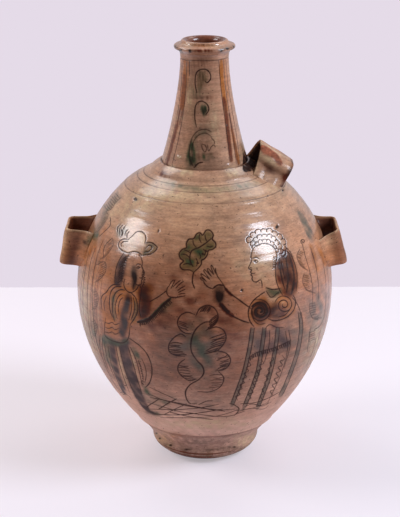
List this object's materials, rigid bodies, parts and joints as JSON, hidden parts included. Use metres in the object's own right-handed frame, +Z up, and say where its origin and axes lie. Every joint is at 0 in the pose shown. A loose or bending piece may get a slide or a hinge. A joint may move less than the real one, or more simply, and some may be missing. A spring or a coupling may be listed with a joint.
{
  "type": "pilgrim flask",
  "caption": "Glazed earthenware pilgrim flask: a tall egg-shaped body on a small turned foot, a tapering neck with a flanged mouth, and strap lugs for a carrying cord.",
  "frame": {"origin": "centre of the flat face under the foot, on the flask's axis", "axes": "+Z up along the axis to the mouth; +X towards the side lug below the shoulder lug; the decorated front faces -Y"},
  "size_m": [0.2702, 0.241, 0.4],
  "materials": {
    "bare_clay": "satin",
    "slip_glaze": "gloss",
    "shoulder_glaze": "gloss",
    "neck_glaze": "gloss",
    "lug_glaze": "gloss"
  },
  "bodies": {
    "root": {"foot": "bare_clay", "body": "slip_glaze", "shoulder_cap": "shoulder_glaze", "neck_band": "shoulder_glaze", "neck": "neck_glaze", "mouth_ring": "neck_glaze", "left_lug": "lug_glaze", "right_lug": "lug_glaze", "shoulder_lug": "lug_glaze"}
  },
  "joints": []
}
